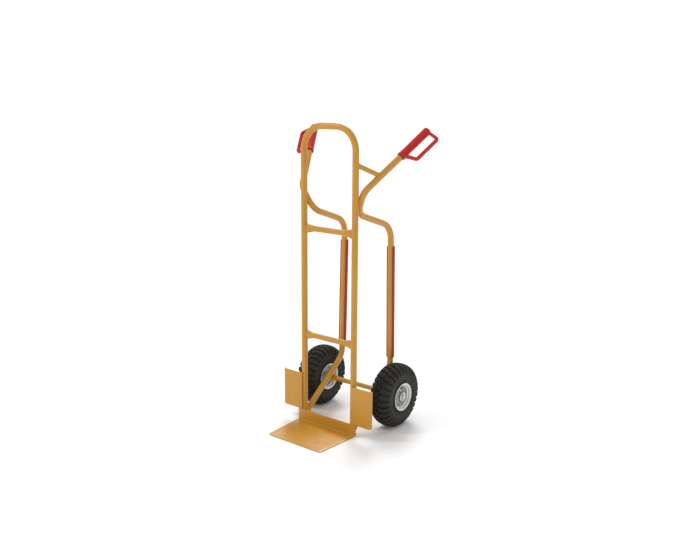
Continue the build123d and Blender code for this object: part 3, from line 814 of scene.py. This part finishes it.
def meeting_ring(origin, direction, radius, axis_point, axis, main_radius, steps=72):
    """Where a round tube, going along direction, first meets a larger round tube."""
    direction = direction.normalized()
    side = direction.cross(axis).normalized()
    up = side.cross(direction)
    points = []
    for step in range(steps):
        turn = 2 * math.pi * step / steps
        start = origin + side * (radius * math.cos(turn)) + up * (radius * math.sin(turn))
        flat_way = direction - axis * direction.dot(axis)
        offset = start - axis_point
        offset -= axis * offset.dot(axis)
        a = flat_way.length_squared
        b = 2 * offset.dot(flat_way)
        c = offset.length_squared - main_radius ** 2
        root = math.sqrt(max(0.0, b * b - 4 * a * c))
        points.append(start + direction * ((-b - root) / (2 * a)))
    return points


def line(start, end, step=1.0 * mm):
    """Evenly spaced points from start to end."""
    count = max(4, round((end - start).length / step))
    return [start + (end - start) * (index / count) for index in range(count + 1)]


def circle_about_axle(centre, along, radius, steps=60):
    """A circle about the X axis."""
    points = []
    for step in range(steps):
        turn = 2 * math.pi * step / steps
        offset = Vector((0, radius * math.cos(turn), radius * math.sin(turn)))
        points.append(Vector((along, centre.y, centre.z)) + offset)
    return points


def crossbar_welds(work):
    """A bead round each crossbar's flared end, where it meets the right upright."""
    for node in ("upper_crossbar", "lower_crossbar"):
        low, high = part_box(node)
        height = (low.z + high.z) / 2
        ring = []
        for step in range(90):
            turn = 2 * math.pi * step / 90
            behind = (MOUTH_MIDDLE + MOUTH_HALF_DEPTH * squared(math.cos(turn), MOUTH_CORNERS)) * mm
            across = frame_half_width - math.sqrt(tube_radius ** 2 - behind ** 2)
            rise = MOUTH_HALF_HEIGHT * mm * squared(math.sin(turn), MOUTH_CORNERS)
            ring.append(Vector((across, hoop_plane + behind, height + rise)))
        bead(work, ring, True, SMALL_BEAD)


def tube_welds(work):
    """Beads at both ends of the brace, at the sloping leg's foot and where the neck touches."""
    up = Vector((0, 0, 1))
    upright = place(UPRIGHT_X, 0, 0)
    brace_top = place(UPRIGHT_X, 0, BRACE_TOP)
    brace_end = NECK + HANDLE * BRACE_ALONG_HANDLE
    away = (brace_top - brace_end).normalized()
    half_way = (brace_top + brace_end) / 2
    bead(work, meeting_ring(half_way, away, BRACE_RADIUS, upright, up, tube_radius), True, SMALL_BEAD)
    bead(work, meeting_ring(half_way, -away, BRACE_RADIUS, NECK, HANDLE, tube_radius), True, SMALL_BEAD)
    leg = (LEG_END - LEG_START).normalized()
    start = LEG_START + leg * (60 * mm)
    foot = meeting_ring(start, -leg, tube_radius * 0.985, upright, up, tube_radius, 96)
    bead(work, foot, True, SMALL_BEAD)
    for lateral in (-7.0, 7.0):
        path = []
        for step in range(31):
            point = LOW_NECK.lerp(NECK, NECK_BEAD_START + NECK_BEAD_LENGTH * step / 30)
            toward = Vector((frame_half_width - point.x, hoop_plane - point.y, 0))
            side = toward.normalized().cross(up)
            path.append(point + toward / 2 + side * (lateral * mm))
        bead(work, path, False, NECK_BEAD)


def sheet_welds(work):
    """Short beads down both edges of the guard's joint, and one where the flange ends."""
    for height in GUARD_BEAD_BOTTOMS:
        for across, behind in GUARD_BEAD_EDGES:
            bottom = place(across, behind, height)
            bead(work, line(bottom, place(across, behind, height + GUARD_BEAD_LENGTH)), False, SHEET_BEAD)
    bead(work, line(place(116.5, -12.9, 49.0), place(135.5, -12.9, 49.0)), False, SHEET_BEAD)


def make_welds():
    """Painted weld beads where tubes, bars and plates meet, mirrored to the left side."""
    work = bmesh.new()
    crossbar_welds(work)
    tube_welds(work)
    sheet_welds(work)
    for across in AXLE_BEADS_ACROSS:
        ring = circle_about_axle(wheel_centre("right"), across * mm, AXLE_BEAD_RADIUS)
        bead(work, ring, True, SMALL_BEAD)
    bmesh.ops.recalc_face_normals(work, faces=work.faces)
    right = bpy.data.meshes.new("right_welds")
    work.to_mesh(right)
    work.free()
    sharpen(right, 80)
    for side_name, mesh in (("right", right), ("left", mirrored(right, "left_welds"))):
        add_piece(side_name + "_weld_beads", mesh, "frame", "yellow_paint")


# ---- scene ----------------------------------------------------------------------------
def make_floor():
    """A large pale floor, not part of the object."""
    half = 9.0
    corners = [[(-half, -half, 0), (half, -half, 0)], [(-half, half, 0), (half, half, 0)]]
    floor_mesh = grid_mesh("floor", corners)
    floor = bpy.data.objects.new("floor", floor_mesh)
    bpy.context.scene.collection.objects.link(floor)
    paper = Look("studio_paper", (0.95, 0.95, 0.95), 0.9)
    mottle = paper.spread(paper.noise(30, 2), 0.0, 1.0)
    paper.colour(paper.blend(mottle, (0.955, 0.955, 0.955), (0.945, 0.945, 0.945)))
    floor_mesh.materials.append(paper.material)


def add_light(name, kind, aim, energy):
    """A light of this kind, shining along aim."""
    data = bpy.data.lights.new(name, kind)
    data.energy = energy
    light = bpy.data.objects.new(name, data)
    bpy.context.scene.collection.objects.link(light)
    light.rotation_euler = Vector(aim).to_track_quat("-Z", "Y").to_euler()
    return light


def make_lights():
    """White backdrop, dimmer surroundings, a wide sun from behind and a small lamp in front."""
    backdrop, surroundings = 1.06, 0.76
    world = bpy.data.worlds.new("studio")
    world.use_nodes = True
    tree = world.node_tree
    background = tree.nodes["Background"]
    background.inputs["Color"].default_value = (1, 1, 1, 1)
    strength = tree.nodes.new("ShaderNodeMapRange")
    strength.inputs["To Min"].default_value = surroundings
    strength.inputs["To Max"].default_value = backdrop
    seen = tree.nodes.new("ShaderNodeLightPath")
    tree.links.new(seen.outputs["Is Camera Ray"], strength.inputs["Value"])
    tree.links.new(strength.outputs["Result"], background.inputs["Strength"])
    bpy.context.scene.world = world
    sun = add_light("soft_box", "SUN", (0.58, -0.82, -1.0), 1.55)
    sun.data.angle = math.radians(27)
    lamp_place, lamp_aim = Vector((-1.3, -1.5, 2.7)), Vector((0, 0, 0.7))
    lamp = add_light("highlight", "AREA", lamp_aim - lamp_place, 15)
    lamp.location = lamp_place
    lamp.data.size = 0.42
    bpy.context.scene.view_settings.view_transform = "Standard"


def make_camera():
    """Camera in front of the truck, to its right and a little above it."""
    azimuth, climb, roll = math.radians(37.98), math.radians(12.89), math.radians(0.5243)
    distance = 3.13106
    aim = place(39.78, 82.58, 602.3)
    back = Vector((
        math.sin(azimuth) * math.cos(climb),
        -math.cos(azimuth) * math.cos(climb),
        math.sin(climb),
    ))
    level = Vector((math.cos(azimuth), math.sin(azimuth), 0))
    up = level.cross(-back)
    right = level * math.cos(roll) + up * math.sin(roll)
    up = up * math.cos(roll) - level * math.sin(roll)
    data = bpy.data.cameras.new("camera")
    data.lens = 40.81
    data.sensor_width = 36
    camera = bpy.data.objects.new("camera", data)
    bpy.context.scene.collection.objects.link(camera)
    turn = Matrix((right, up, back)).transposed().to_4x4()
    camera.matrix_world = Matrix.Translation(aim + back * distance) @ turn
    bpy.context.scene.camera = camera


for name in SIDES:
    make_tyre(name)
    make_rims(name)
make_grips()
make_toe_plate()
make_wheel_guards()
make_welds()
make_floor()
make_lights()
make_camera()
